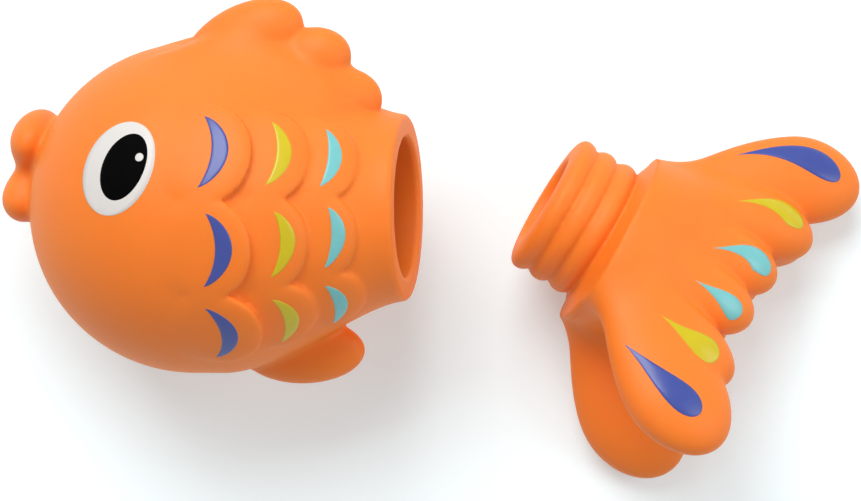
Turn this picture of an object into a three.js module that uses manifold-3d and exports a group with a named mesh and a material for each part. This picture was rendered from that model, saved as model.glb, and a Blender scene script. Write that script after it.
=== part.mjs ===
// Fish squirt bath toy: a hollow soft-vinyl fish whose tail is a beaded plug that pulls out of its neck.
// Sizes are millimetres and degrees. Each moulding has its own frame: x runs from nose to tail,
// y to the back fin and z to the left flank. Both are then laid on a table with +Z up.

import * as THREE from 'three';
import { mergeVertices } from 'three/addons/utils/BufferGeometryUtils.js';
import Module from 'manifold-3d';

const wasm = await Module();
wasm.setup();

// Body: a round head that tapers into an open neck
const HEAD_RADIUS = 31.3;
const NECK_REACH = 40.6;
const NECK_RADIUS = 17.6;
const NECK_BORE_RADIUS = 13.3;
const NECK_BORE_DEPTH = 15;
const NECK_EDGE = 0.8;
const BODY_WALL = 3;
const TAPER_START = 5.8;
const TAPER_FULLNESS = 10.9;
const TAPER_STRAIGHT = 8;

// Mouth: two thick lips with the squirt hole between them
const LIP_HALF_DEPTH = 4.4;
const LIPS = [
  { elevation: 24.3, standOff: 2.2, halfHeight: 4.9, halfWidth: 8.5 },
  { elevation: 3.1, standOff: 1.4, halfHeight: 4.6, halfWidth: 7.5 },
];
const SQUIRT_HOLE_RADIUS = 1.1;

// Fins in the middle plane: puffed lobes by the middle's place along the body and its height over the skin
const BACK_FIN_LOBES = [
  { x: 9.9, rise: 0.3, halfLength: 13.4, halfHeight: 7.2, halfThickness: 5.6, lean: 29 },
  { x: 23.4, rise: 3.9, halfLength: 8.2, halfHeight: 5.9, halfThickness: 4.9, lean: 20 },
  { x: 29.3, rise: -1, halfLength: 8, halfHeight: 5.6, halfThickness: 4.6, lean: 10 },
];
const BELLY_FIN = { x: 20, rise: 0.7, halfLength: 11.8, halfHeight: 6.5, halfThickness: 4.2, lean: 3 };

// Scales: three rows of three raised pads on each flank, by the rear edge's distance from the neck rim
const SCALE_COLUMNS = [
  { colour: 'blue', setback: 23.2, rowPitch: 33.5, halfLength: 8.4 },
  { colour: 'yellow', setback: 13.6, rowPitch: 35.7, halfLength: 7.6 },
  { colour: 'aqua', setback: 5.2, rowPitch: 38.5, halfLength: 7 },
];
const SCALE_ROWS = [['upper', 1], ['middle', 0], ['lower', -1]];
const SCALE_SWELL = 2.4;
const SCALE_SINK = 1.4;
const SCALE_TILT = 8;
const SCALE_OVERLAP = 1.04;

// Painted crescents, one on each scale: the horns' distance from the neck rim and how far both edges bow
const CRESCENTS = {
  blue: { tipSetback: 32.4, bulge: 5.4, hollow: 1.9, halfAngle: 12.8 },
  yellow: { tipSetback: 20.8, bulge: 4.5, hollow: 1.3, halfAngle: 13.8 },
  aqua: { tipSetback: 11.4, bulge: 3.7, hollow: 0.8, halfAngle: 15.4 },
};

// Eye: an upright oval with its pupil and glint, by the direction of its middle from the head's middle
const EYE_FORWARD = 14.5;
const EYE_ELEVATION = 27;
const EYE_LEAN = 22;
const EYE_OVALS = [
  { name: 'eye_white', ahead: 0.7, above: 0.4, halfWidth: 7.1, halfHeight: 9.05 },
  { name: 'pupil', ahead: -0.6, above: 0.6, halfWidth: 4.3, halfHeight: 6.5 },
  { name: 'eye_glint', ahead: -3.6, above: 2.5, halfWidth: 0.8, halfHeight: 0.8 },
];

// Tail plug: three ring beads that squeeze into the neck, and a shoulder that meets its rim
const PLUG_LENGTH = 12;
const PLUG_SLIP = 0.2;
const BEAD_SQUEEZE = 0.6;
const BEAD_COUNT = 3;
const BEAD_HALF_LENGTH = 1.6;
const PLUG_WALL = 3.7;
const TAIL_BORE_DEPTH = 20;
const SHOULDER_SLOPE = 1.8;
const SHOULDER_EDGE = 1.2;
const HUB_DEPTH = 15;

// Tail fan: one top lobe in the middle plane, and two leaves that lean apart below it
const LEAF_LEAN = 17.6;
const LEAF_APEX = 28.2;
const FAN_ROOT_X = 4;
const FAN_ROOT_SPREAD = 11;
const LOBE_WIDEST = 0.6;
const LOBE_ROOT_SHARE = 0.78;
const TOP_LOBE = { x: 38.4, y: 36.2, halfWidth: 11.3, halfThickness: 5.4 };
const LEAF_LOBES = [
  { x: 34.6, y: 17.7, halfWidth: 6.9, halfThickness: 4.8 },
  { x: 31.2, y: 5.9, halfWidth: 6.3, halfThickness: 4.8 },
  { x: 30.3, y: -4.2, halfWidth: 6.2, halfThickness: 4.8 },
  { x: 32.4, y: -16, halfWidth: 6.6, halfThickness: 4.8 },
  { x: 35.3, y: -35, halfWidth: 10.8, halfThickness: 5 },
];

// Painted drops, one for each lobe of a leaf: where the point, the middle and the round head lie
const DROPS = [
  { colour: 'blue', place: 'top', path: [[13.4, 25.2], [22.7, 32.4], [33.6, 33.2]], halfWidth: 2.3 },
  { colour: 'yellow', place: 'upper', path: [[17.4, 15.8], [25.3, 20], [31, 18.4]], halfWidth: 2.5 },
  { colour: 'aqua', place: 'upper', path: [[17.3, 3.5], [23.8, 7.1], [28.5, 5.8]], halfWidth: 2.1 },
  { colour: 'aqua', place: 'lower', path: [[16.8, -5], [22.8, -5], [27.2, -6.4]], halfWidth: 2.1 },
  { colour: 'yellow', place: 'lower', path: [[13.9, -15.3], [21.7, -17.2], [27.2, -18.7]], halfWidth: 2.5 },
  { colour: 'blue', place: 'bottom', path: [[9.9, -24.4], [20, -28], [28.4, -30.8]], halfWidth: 2.7 },
];
const DROP_HEAD_BIAS = 1.6;
const DROP_ROUNDNESS = 0.75;

// Paint: thin films that lie just clear of what they are painted on
const PAINT_GAP = 0.3;
const PAINT_THICKNESS = 0.3;
const BLUNT_TIP = 0.96;

// How the two mouldings lie on the table
const FISH_ROLL = 15;
const FISH_PITCH = -10;
const TAIL_APART_X = 79.2;
const TAIL_APART_Y = -5.3;
const TAIL_ROLL = -14;
const TAIL_PITCH = 4;
const TAIL_YAW = -30.7;

// How far a cut runs past the face it opens
const CUT_OVERSHOOT = 1;

// Facets
const ROUND_SIDES = 32;
const BORE_SIDES = 24;
const ARC_STEPS = 9;
const BEAD_STEPS = 4;
const LOBE_SIDES = 14;
const LOBE_STEPS = 9;
const MARK_STATIONS = 11;
const MARK_ACROSS = 3;
const EYE_STATIONS = 9;
const EYE_ACROSS = 5;
const MERGE_DISTANCE = 1e-4;
const HALVINGS = 40;

// Finishes
const FINISHES = {
  vinyl: { color: 0xf28a40, roughness: 0.5, metalness: 0 },
  white: { color: 0xe6e2de, roughness: 0.35, metalness: 0 },
  black: { color: 0x060606, roughness: 0.3, metalness: 0 },
  blue: { color: 0x3f52a8, roughness: 0.35, metalness: 0 },
  yellow: { color: 0xc4bc08, roughness: 0.35, metalness: 0 },
  aqua: { color: 0x68c0c4, roughness: 0.35, metalness: 0 },
};

const radians = THREE.MathUtils.degToRad;

// Solids: closed meshes are joined and cut, then given back as plain geometry

function signedVolume(positions, triangles) {
  const [a, b, c] = [new THREE.Vector3(), new THREE.Vector3(), new THREE.Vector3()];
  let sum = 0;
  for (let i = 0; i < triangles.length; i += 3) {
    a.fromArray(positions, 3 * triangles[i]);
    b.fromArray(positions, 3 * triangles[i + 1]);
    c.fromArray(positions, 3 * triangles[i + 2]);
    sum += a.dot(b.cross(c)) / 6;
  }
  return sum;
}

function solidFrom(geometry) {
  const bare = geometry.clone();
  bare.deleteAttribute('normal');
  bare.deleteAttribute('uv');
  const merged = mergeVertices(bare, MERGE_DISTANCE);
  const positions = merged.attributes.position.array;
  const triangles = [];
  for (let i = 0; i < merged.index.count; i += 3) {
    const [a, b, c] = merged.index.array.slice(i, i + 3);
    if (a !== b && b !== c && c !== a) {
      triangles.push(a, b, c);
    }
  }
  if (signedVolume(positions, triangles) < 0) {
    triangles.reverse();
  }
  return new wasm.Manifold(new wasm.Mesh({
    numProp: 3,
    vertProperties: new Float32Array(positions),
    triVerts: new Uint32Array(triangles),
  }));
}

function geometryFrom(solid) {
  const mesh = solid.getMesh();
  const geometry = new THREE.BufferGeometry();
  geometry.setAttribute('position', new THREE.BufferAttribute(mesh.vertProperties, 3));
  geometry.setIndex(new THREE.BufferAttribute(mesh.triVerts, 1));
  geometry.computeVertexNormals();
  return geometry;
}

function join(geometries) {
  return geometries.map(solidFrom).reduce((whole, solid) => whole.add(solid));
}

function cut(solid, geometries) {
  return geometries.map(solidFrom).reduce((whole, tool) => whole.subtract(tool), solid);
}

// A body of revolution round x, from [x, radius] points that start and end on the axis
function turned(profile, sides) {
  const points = profile.map(([x, radius]) => new THREE.Vector2(radius, x));
  return new THREE.LatheGeometry(points, sides).rotateZ(-Math.PI / 2);
}

function arcPoints(x, radius, from, to) {
  const points = [];
  for (let i = 0; i <= ARC_STEPS; i += 1) {
    const angle = radians(THREE.MathUtils.lerp(from, to, i / ARC_STEPS));
    points.push([x + radius * Math.cos(angle), radius * Math.sin(angle)]);
  }
  return points;
}

function ellipsoid(halfX, halfY, halfZ) {
  return new THREE.SphereGeometry(1, LOBE_SIDES, LOBE_SIDES / 2).scale(halfX, halfY, halfZ);
}

// Body profile

const taper = new THREE.CubicBezierCurve(
  new THREE.Vector2(TAPER_START, HEAD_RADIUS),
  new THREE.Vector2(TAPER_START + TAPER_FULLNESS, HEAD_RADIUS),
  new THREE.Vector2(NECK_REACH - TAPER_STRAIGHT, NECK_RADIUS),
  new THREE.Vector2(NECK_REACH, NECK_RADIUS),
);

// The skin's radius and its slope at a place along the body
function skinAt(x) {
  let low = 0;
  let high = 1;
  for (let i = 0; i < HALVINGS; i += 1) {
    const middle = (low + high) / 2;
    if (taper.getPoint(middle).x < x) {
      low = middle;
    } else {
      high = middle;
    }
  }
  const tangent = taper.getTangent(low);
  return { radius: taper.getPoint(low).y, along: tangent };
}

function bodyOutside() {
  const profile = arcPoints(0, HEAD_RADIUS, 180, 90);
  for (const point of taper.getPoints(ARC_STEPS)) {
    profile.push([point.x, point.y]);
  }
  profile.pop();
  profile.push([NECK_REACH - NECK_EDGE, NECK_RADIUS]);
  profile.push([NECK_REACH, NECK_RADIUS - NECK_EDGE]);
  profile.push([NECK_REACH, 0]);
  return turned(profile, ROUND_SIDES);
}

function bodyHollow() {
  const boreStart = NECK_REACH - NECK_BORE_DEPTH;
  const profile = arcPoints(0, HEAD_RADIUS - BODY_WALL, 180, 90);
  for (let i = 0; i <= ARC_STEPS; i += 1) {
    const skin = taper.getPoint(i / ARC_STEPS);
    const along = taper.getTangent(i / ARC_STEPS);
    const x = skin.x + BODY_WALL * along.y;
    const radius = skin.y - BODY_WALL * along.x;
    if (x < boreStart && radius > NECK_BORE_RADIUS) {
      profile.push([x, radius]);
    }
  }
  profile.push([boreStart, NECK_BORE_RADIUS]);
  profile.push([NECK_REACH + CUT_OVERSHOOT, NECK_BORE_RADIUS]);
  profile.push([NECK_REACH + CUT_OVERSHOOT, 0]);
  return turned(profile, BORE_SIDES);
}

function lip({ elevation, standOff, halfHeight, halfWidth }) {
  return ellipsoid(LIP_HALF_DEPTH, halfHeight, halfWidth)
    .translate(-HEAD_RADIUS - standOff, 0, 0)
    .rotateZ(-radians(elevation));
}

function squirtHole() {
  const length = 4 * (LIP_HALF_DEPTH + BODY_WALL);
  const elevation = (LIPS[0].elevation + LIPS[1].elevation) / 2;
  return new THREE.CylinderGeometry(SQUIRT_HOLE_RADIUS, SQUIRT_HOLE_RADIUS, length, LOBE_SIDES)
    .rotateZ(Math.PI / 2)
    .translate(-HEAD_RADIUS, 0, 0)
    .rotateZ(-radians(elevation));
}

function finLobe({ x, rise, halfLength, halfHeight, halfThickness, lean }, up) {
  return ellipsoid(halfLength, halfHeight, halfThickness)
    .rotateZ(radians(lean))
    .translate(x, up * (skinAt(x).radius + rise), 0);
}

// One raised scale: a flat ellipsoid tilted so that its rear edge stands out of the skin
function scalePad(column, angle, side) {
  const x = NECK_REACH - column.setback - column.halfLength;
  const { radius, along } = skinAt(x);
  const halfRow = radius * Math.tan(radians(column.rowPitch / 2));
  const slope = Math.atan2(along.y, along.x);
  return ellipsoid(column.halfLength, halfRow * SCALE_OVERLAP, SCALE_SWELL)
    .rotateY(-slope - radians(SCALE_TILT))
    .translate(x, 0, radius - SCALE_SINK)
    .rotateX(-radians(angle))
    .scale(1, 1, side);
}

// Tail

const SHOULDER_RADIUS = NECK_RADIUS;
const PLUG_RADIUS = NECK_BORE_RADIUS - PLUG_SLIP;
const BEAD_RADIUS = NECK_BORE_RADIUS + BEAD_SQUEEZE;
const TAIL_BORE_RADIUS = PLUG_RADIUS - PLUG_WALL;
const MOUTH_X = -SHOULDER_SLOPE - PLUG_LENGTH;

function beadProfile(middle) {
  const points = [];
  for (let i = 0; i <= BEAD_STEPS; i += 1) {
    const along = THREE.MathUtils.lerp(-1, 1, i / BEAD_STEPS);
    const rise = (BEAD_RADIUS - PLUG_RADIUS) * Math.cos(along * Math.PI / 2);
    points.push([middle + along * BEAD_HALF_LENGTH, PLUG_RADIUS + rise]);
  }
  return points;
}

function plugAndHub() {
  const profile = [[MOUTH_X, 0], [MOUTH_X, PLUG_RADIUS - SHOULDER_EDGE]];
  const pitch = PLUG_LENGTH / BEAD_COUNT;
  for (let i = 0; i < BEAD_COUNT; i += 1) {
    profile.push(...beadProfile(MOUTH_X + BEAD_HALF_LENGTH + i * pitch));
  }
  profile.push([-SHOULDER_SLOPE, PLUG_RADIUS]);
  profile.push([-SHOULDER_EDGE, SHOULDER_RADIUS - SHOULDER_EDGE]);
  profile.push([0, SHOULDER_RADIUS]);
  for (let i = 0; i <= ARC_STEPS; i += 1) {
    const angle = (i / ARC_STEPS) * Math.PI / 2;
    profile.push([SHOULDER_EDGE + HUB_DEPTH * Math.sin(angle), SHOULDER_RADIUS * Math.cos(angle)]);
  }
  return turned(profile, ROUND_SIDES);
}

function tailBore() {
  const end = MOUTH_X + TAIL_BORE_DEPTH - TAIL_BORE_RADIUS;
  const open = MOUTH_X - CUT_OVERSHOOT;
  const profile = [[open, 0], [open, TAIL_BORE_RADIUS]];
  profile.push(...arcPoints(end, TAIL_BORE_RADIUS, 90, 0));
  return turned(profile, BORE_SIDES);
}

// A fan lobe: narrow where it leaves the hub, widest past the middle, round at its tip
function fanLobe({ x, y, halfWidth, halfThickness }) {
  const rootY = FAN_ROOT_SPREAD * y / Math.hypot(x, y);
  const length = Math.hypot(x - FAN_ROOT_X, y - rootY);
  const profile = [[0, 0]];
  for (let i = 1; i < LOBE_STEPS; i += 1) {
    const share = Math.sin((i / LOBE_STEPS) * Math.PI / 2);
    const swell = THREE.MathUtils.smoothstep(share, 0, LOBE_WIDEST);
    const width = halfWidth * THREE.MathUtils.lerp(LOBE_ROOT_SHARE, 1, swell);
    const past = Math.max(0, (share - LOBE_WIDEST) / (1 - LOBE_WIDEST));
    profile.push([length * share, width * Math.sqrt(1 - past ** 2)]);
  }
  profile.push([length, 0]);
  return turned(profile, LOBE_SIDES)
    .scale(1, 1, halfThickness / halfWidth)
    .rotateZ(Math.atan2(y - rootY, x - FAN_ROOT_X))
    .translate(FAN_ROOT_X, rootY, 0);
}

// Leans a leaf's flat geometry, or a ray cast at it, out from the middle plane about the fan's top
function leafMatrix(side) {
  return new THREE.Matrix4()
    .makeTranslation(0, LEAF_APEX, 0)
    .multiply(new THREE.Matrix4().makeRotationX(side * radians(LEAF_LEAN)))
    .multiply(new THREE.Matrix4().makeTranslation(0, -LEAF_APEX, 0));
}

// Paint films

const caster = new THREE.Raycaster();

// A closed film over a grid of places: u runs along the mark from 0 to 1, w across it from -1 to 1
function paintFilm(surface, layer, stations, across, place) {
  const lift = PAINT_GAP + layer * (PAINT_GAP + PAINT_THICKNESS);
  const positions = [];
  for (const height of [lift, lift + PAINT_THICKNESS]) {
    for (let i = 0; i < stations; i += 1) {
      for (let j = 0; j < across; j += 1) {
        const { from, inward } = place(i / (stations - 1), 2 * j / (across - 1) - 1);
        caster.set(from, inward);
        const hit = caster.intersectObject(surface)[0].point;
        positions.push(...hit.addScaledVector(inward, -height).toArray());
      }
    }
  }
  const index = [];
  const layerSize = stations * across;
  const quad = (a, b, c, d) => index.push(a, b, c, a, c, d);
  for (let i = 0; i < stations - 1; i += 1) {
    for (let j = 0; j < across - 1; j += 1) {
      const corner = i * across + j;
      const corners = [corner, corner + across, corner + across + 1, corner + 1];
      quad(...corners.map((k) => k + layerSize));
      quad(...corners.toReversed());
    }
  }
  const edge = [];
  for (let j = 0; j < across - 1; j += 1) {
    edge.push(j);
  }
  for (let i = 0; i < stations - 1; i += 1) {
    edge.push(i * across + across - 1);
  }
  for (let j = across - 1; j > 0; j -= 1) {
    edge.push((stations - 1) * across + j);
  }
  for (let i = stations - 1; i > 0; i -= 1) {
    edge.push(i * across);
  }
  edge.forEach((k, n) => {
    const next = edge[(n + 1) % edge.length];
    quad(k + layerSize, next + layerSize, next, k);
  });
  const geometry = new THREE.BufferGeometry();
  geometry.setAttribute('position', new THREE.Float32BufferAttribute(positions, 3));
  geometry.setIndex(index);
  return geometryFrom(solidFrom(geometry));
}

const FAR = 4 * HEAD_RADIUS;
const mirrored = (vector, side) => vector.setZ(side * vector.z);

function crescent(surface, { tipSetback, bulge, hollow, halfAngle }, angle, side) {
  return paintFilm(surface, 0, MARK_STATIONS, MARK_ACROSS, (u, w) => {
    const high = BLUNT_TIP * (2 * u - 1);
    const shift = THREE.MathUtils.lerp(hollow, bulge, (w + 1) / 2);
    const x = NECK_REACH - tipSetback + (1 - high ** 2) * shift;
    const turn = radians(angle + high * halfAngle);
    const inward = mirrored(new THREE.Vector3(0, -Math.sin(turn), -Math.cos(turn)), side);
    const from = inward.clone().multiplyScalar(-FAR).setX(x);
    return { from, inward };
  });
}

function eyeOval(surface, oval, layer, side) {
  const turn = new THREE.Matrix4().makeRotationY(-radians(EYE_FORWARD))
    .multiply(new THREE.Matrix4().makeRotationX(-radians(EYE_ELEVATION)));
  return paintFilm(surface, layer, EYE_STATIONS, EYE_ACROSS, (u, w) => {
    const swing = Math.PI * (u - 0.5) * BLUNT_TIP;
    const across = w * oval.halfWidth * Math.cos(swing);
    const high = oval.halfHeight * Math.sin(swing);
    const lean = radians(EYE_LEAN);
    const a = across * Math.cos(lean) + high * Math.sin(lean) - oval.ahead;
    const b = high * Math.cos(lean) - across * Math.sin(lean) + oval.above;
    const from = mirrored(new THREE.Vector3(a, b, FAR).applyMatrix4(turn), side);
    const inward = mirrored(new THREE.Vector3(0, 0, -1).applyMatrix4(turn), side);
    return { from, inward };
  });
}

function drop(surface, { path, halfWidth }, side) {
  const [start, middle, end] = path.map(([x, y]) => new THREE.Vector2(x, y));
  const control = middle.clone().multiplyScalar(2).addScaledVector(start, -0.5).addScaledVector(end, -0.5);
  const curve = new THREE.QuadraticBezierCurve(start, control, end);
  const lean = leafMatrix(-1);
  const inward = mirrored(new THREE.Vector3(0, 0, -1).transformDirection(lean), side);
  return paintFilm(surface, 0, MARK_STATIONS, MARK_ACROSS, (u, w) => {
    const share = THREE.MathUtils.lerp(1 - BLUNT_TIP, BLUNT_TIP, u);
    const width = halfWidth * Math.sin(Math.PI * share ** DROP_HEAD_BIAS) ** DROP_ROUNDNESS;
    const along = curve.getTangent(share);
    const spot = curve.getPoint(share).add(new THREE.Vector2(-along.y, along.x).multiplyScalar(w * width));
    const from = mirrored(new THREE.Vector3(spot.x, spot.y, FAR).applyMatrix4(lean), side);
    return { from, inward };
  });
}

// Assembly

function named(name, geometry, finish) {
  const mesh = new THREE.Mesh(geometry, new THREE.MeshStandardMaterial(FINISHES[finish]));
  mesh.name = name;
  return mesh;
}

const SIDES = [['left', 1], ['right', -1]];

function makeFish() {
  const pads = [];
  for (const [, side] of SIDES) {
    for (const column of SCALE_COLUMNS) {
      for (const [, row] of SCALE_ROWS) {
        pads.push(scalePad(column, row * column.rowPitch, side));
      }
    }
  }
  const fins = [...BACK_FIN_LOBES.map((lobe) => finLobe(lobe, 1)), finLobe(BELLY_FIN, -1)];
  const outside = join([bodyOutside(), ...LIPS.map(lip), ...fins, ...pads]);
  const shell = cut(outside, [bodyHollow(), squirtHole()]);
  const body = named('body_shell', geometryFrom(shell), 'vinyl');
  const fish = new THREE.Group().add(body);
  for (const [sideName, side] of SIDES) {
    EYE_OVALS.forEach((oval, layer) => {
      const finish = oval.name === 'pupil' ? 'black' : 'white';
      fish.add(named(`${oval.name}_${sideName}`, eyeOval(body, oval, layer, side), finish));
    });
    for (const column of SCALE_COLUMNS) {
      for (const [rowName, row] of SCALE_ROWS) {
        const film = crescent(body, CRESCENTS[column.colour], row * column.rowPitch, side);
        fish.add(named(`${column.colour}_crescent_${rowName}_${sideName}`, film, column.colour));
      }
    }
  }
  fish.rotation.set(radians(FISH_ROLL), radians(FISH_PITCH), 0, 'YXZ');
  return fish;
}

function makeTail() {
  const lobes = [fanLobe(TOP_LOBE)];
  for (const [, side] of SIDES) {
    lobes.push(...LEAF_LOBES.map((lobe) => fanLobe(lobe).applyMatrix4(leafMatrix(-side))));
  }
  const shell = cut(join([plugAndHub(), ...lobes]), [tailBore()]);
  const body = named('tail_shell', geometryFrom(shell), 'vinyl');
  const tail = new THREE.Group().add(body);
  for (const [sideName, side] of SIDES) {
    for (const mark of DROPS) {
      tail.add(named(`${mark.colour}_drop_${mark.place}_${sideName}`, drop(body, mark, side), mark.colour));
    }
  }
  tail.rotation.set(radians(TAIL_ROLL), radians(TAIL_PITCH), radians(TAIL_YAW), 'ZYX');
  tail.position.set(TAIL_APART_X, TAIL_APART_Y, 0);
  return tail;
}

function boxOf(group) {
  return new THREE.Box3().setFromObject(group, true);
}

const fish = makeFish();
const tail = makeTail();
tail.position.z += boxOf(fish).min.z - boxOf(tail).min.z;

const toy = new THREE.Group().add(fish, tail);
const extent = boxOf(toy);
const middle = extent.getCenter(new THREE.Vector3());
toy.position.set(-middle.x, -middle.y, -extent.min.z);

export default toy;
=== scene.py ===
# %% [markdown]
# # A fish squirt bath toy
#
# This notebook dresses a pull-apart bath squirter: a hollow soft-vinyl fish, and the beaded tail plug
# that has been pulled out of its neck and laid beside it. On the real toy each moulding is cast in a
# hot, spinning mould, so every edge is soft and every fin runs into the body with a fillet.
# That is why each moulding is described here as one smooth distance field, in which forms melt into
# one another, and is then turned into a mesh. The paint goes on afterwards, as it does on the toy.

# %% Load the frame
from itertools import product
from math import atan2, cos, hypot, pi, radians, sin, tan

import bpy
import numpy as np
from mathutils import Matrix, Vector


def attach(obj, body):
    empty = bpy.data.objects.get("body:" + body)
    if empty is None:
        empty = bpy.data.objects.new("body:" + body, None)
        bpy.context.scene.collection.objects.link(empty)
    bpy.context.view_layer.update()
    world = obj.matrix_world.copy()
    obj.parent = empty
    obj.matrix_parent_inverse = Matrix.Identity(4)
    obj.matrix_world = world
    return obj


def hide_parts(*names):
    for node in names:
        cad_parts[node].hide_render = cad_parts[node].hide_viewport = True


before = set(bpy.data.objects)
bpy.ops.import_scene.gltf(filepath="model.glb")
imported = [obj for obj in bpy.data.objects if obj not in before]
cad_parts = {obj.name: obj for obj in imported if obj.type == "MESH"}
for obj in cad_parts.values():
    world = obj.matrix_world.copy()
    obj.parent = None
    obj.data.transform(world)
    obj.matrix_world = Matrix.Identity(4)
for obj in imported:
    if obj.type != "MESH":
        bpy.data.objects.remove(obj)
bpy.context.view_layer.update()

# %% [markdown]
# ## How the two mouldings lie
#
# The fish lies on its right flank and leans back on its rounded belly. The tail rests on one leaf of its
# fan and on its plug. Each moulding is drawn in a frame of its own, in millimetres and degrees: x runs from
# nose to tail, y to the back fin and z to the left flank. That keeps its left and right alike, and leaves
# the way it lies to one matrix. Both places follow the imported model, whose frame this scene shares.

# %% Place the mouldings
MM = 0.001
FISH_MIDDLE = (-46.4795, 7.6103, 31.2350)
FISH_PITCH = -10
FISH_ROLL = 15
TAIL_MIDDLE = (33.0137, 1.7973, 18.1)
TAIL_YAW = -30.7
TAIL_PITCH = 4
TAIL_ROLL = -14


def place(middle, yaw, pitch, roll):
    """The matrix from a moulding's own millimetres to the scene's metres."""
    turn = Matrix.Rotation(radians(yaw), 4, "Z")
    turn = turn @ Matrix.Rotation(radians(pitch), 4, "Y") @ Matrix.Rotation(radians(roll), 4, "X")
    return np.array(Matrix.Scale(MM, 4) @ Matrix.Translation(middle) @ turn)


FISH_PLACE = place(FISH_MIDDLE, 0, FISH_PITCH, FISH_ROLL)
TAIL_PLACE = place(TAIL_MIDDLE, TAIL_YAW, TAIL_PITCH, TAIL_ROLL)
print("middle of the fish and of the tail's shoulder, in mm:", FISH_MIDDLE, TAIL_MIDDLE)

# %% [markdown]
# ## Forms that melt together
#
# A distance field gives, for any point, how far it lies outside the vinyl (below zero is inside).
# Two forms are joined by taking the smaller distance. A blend width rounds the crease between them,
# as the fillet in the mould does. Boolean modifiers would leave each crease sharp, to be bevelled by hand.


# %% Join and cut forms
def soft_union(a, b, blend):
    """The nearer of two forms, with a fillet of about the blend width between them."""
    share = np.clip(0.5 + 0.5 * (b - a) / blend, 0, 1)
    return b + (a - b) * share - blend * share * (1 - share)


def soft_cut(form, tool, blend):
    """A form with a tool's space taken out of it, and the new edge rounded."""
    return -soft_union(-form, tool, blend)


def smooth_step(low, high, value):
    """A share that eases from 0 to 1 as the value goes from low to high."""
    share = np.clip((value - low) / (high - low), 0, 1)
    return share * share * (3 - 2 * share)


def between(start, end, share):
    return start + (end - start) * share


print(f"a blend of 2 mm fills {-soft_union(0, 0, 2)} mm of a crease")

# %% Basic forms
TINY = 1e-9


def turned_back(a, b, degrees):
    """Coordinates in a frame that was turned by an angle from a towards b."""
    turn = radians(degrees)
    return a * cos(turn) + b * sin(turn), b * cos(turn) - a * sin(turn)


def ellipsoid(x, y, z, half):
    """Distance to an ellipsoid about the origin, near enough for blending."""
    a, b, c = half
    reach = np.sqrt((x / a) ** 2 + (y / b) ** 2 + (z / c) ** 2)
    steep = np.sqrt((x / a**2) ** 2 + (y / b**2) ** 2 + (z / c**2) ** 2)
    return reach * (reach - 1) / (steep + TINY)


def revolved(x, rho, stations, radii):
    """Distance to a body of revolution round x, from its radius along x."""
    slopes = np.gradient(radii, stations)
    radius = np.interp(x, stations, radii)
    slope = np.interp(x, stations, slopes)
    return (rho - radius) / np.sqrt(1 + slope**2)


print(f"12 mm from the middle of a 10 mm ball is {ellipsoid(12, 0, 0, (10, 10, 10)):.1f} mm outside it")

# %% [markdown]
# ## The fish's body
#
# The head is a ball that runs through a cubic curve into the neck, so that a child's hand closes round it.
# A lathe (the Screw modifier) would turn the same curve into a mesh, but the fins would then have to be
# stitched to it. As a field, the round body can take up whatever is blended into it.

# %% Profile of the fish
HEAD_RADIUS = 31.3
NECK_REACH = 41
NECK_RADIUS = 17.6
NECK_EDGE = 1
TAPER_START = 5.8
TAPER_FULLNESS = 10.9
TAPER_STRAIGHT = 8
CURVE_STATIONS = 60


def cubic(points, shares):
    """Points and tangents of a cubic Bezier curve."""
    p0, p1, p2, p3 = (np.array(point, float) for point in points)
    t = shares[:, None]
    spots = (1 - t) ** 3 * p0 + 3 * t * (1 - t) ** 2 * p1 + 3 * t**2 * (1 - t) * p2 + t**3 * p3
    along = (1 - t) ** 2 * (p1 - p0) + 2 * t * (1 - t) * (p2 - p1) + t**2 * (p3 - p2)
    return spots, along / np.linalg.norm(along, axis=1, keepdims=True)


taper_spots, taper_along = cubic(
    (
        (TAPER_START, HEAD_RADIUS),
        (TAPER_START + TAPER_FULLNESS, HEAD_RADIUS),
        (NECK_REACH - TAPER_STRAIGHT, NECK_RADIUS),
        (NECK_REACH, NECK_RADIUS),
    ),
    np.linspace(0, 1, CURVE_STATIONS),
)
print(f"neck {2 * NECK_RADIUS} mm across, head {2 * HEAD_RADIUS} mm across")


# %% Skin of the fish
def skin_at(x):
    """The skin's radius and its slope angle at a place along the taper."""
    radius = np.interp(x, taper_spots[:, 0], taper_spots[:, 1])
    slope = np.interp(x, taper_spots[:, 0], taper_along[:, 1] / taper_along[:, 0])
    return float(radius), atan2(float(slope), 1)


def fish_skin(x, rho):
    """Distance to the plain outside: the ball, then the taper, cut off square at the neck's rim."""
    ball = np.hypot(x, rho) - HEAD_RADIUS
    skin = np.where(x < 0, ball, revolved(x, rho, taper_spots[:, 0], taper_spots[:, 1]))
    return soft_cut(skin, NECK_REACH - x, NECK_EDGE)


print(f"half way to the rim the fish is {2 * skin_at(NECK_REACH / 2)[0]:.1f} mm across")

# %% [markdown]
# ## Fins
#
# The back fin is three fat lobes, one behind the other, and the belly fin is one. On the toy the grooves
# between the lobes are sharp at the fin's edge and fade out where it meets the back, and the last lobe
# ends in a crisp foot on the neck. So the blend widths change with the height over the back, with the
# distance from the middle plane, and along the fish.

# %% Fins of the fish
BACK_FIN_LOBES = (
    {"x": 11, "rise": 0.7, "half": (13, 7.5, 5.6), "lean": 29},
    {"x": 23.4, "rise": 3, "half": (8.5, 6.4, 4.9), "lean": 20},
    {"x": 28.6, "rise": -1.9, "half": (8.6, 6.6, 4.6), "lean": 10},
)
BELLY_FIN = {"x": 19.4, "rise": 1.1, "half": (12, 6.4, 4.2), "lean": 1.6}
FIN_ROOT_BLEND = 9
FIN_ROOT_HEIGHT = 1
FIN_TIP_BLEND = 0.8
FIN_TIP_HEIGHT = 7.2
FIN_EDGE_BLEND = 0.8
FIN_FLANK_BLEND = 9
FIN_FLANK = 7
FIN_CRISP_START = 27
FIN_CRISP_END = 36
BELLY_FIN_BLEND = 1.6


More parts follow.
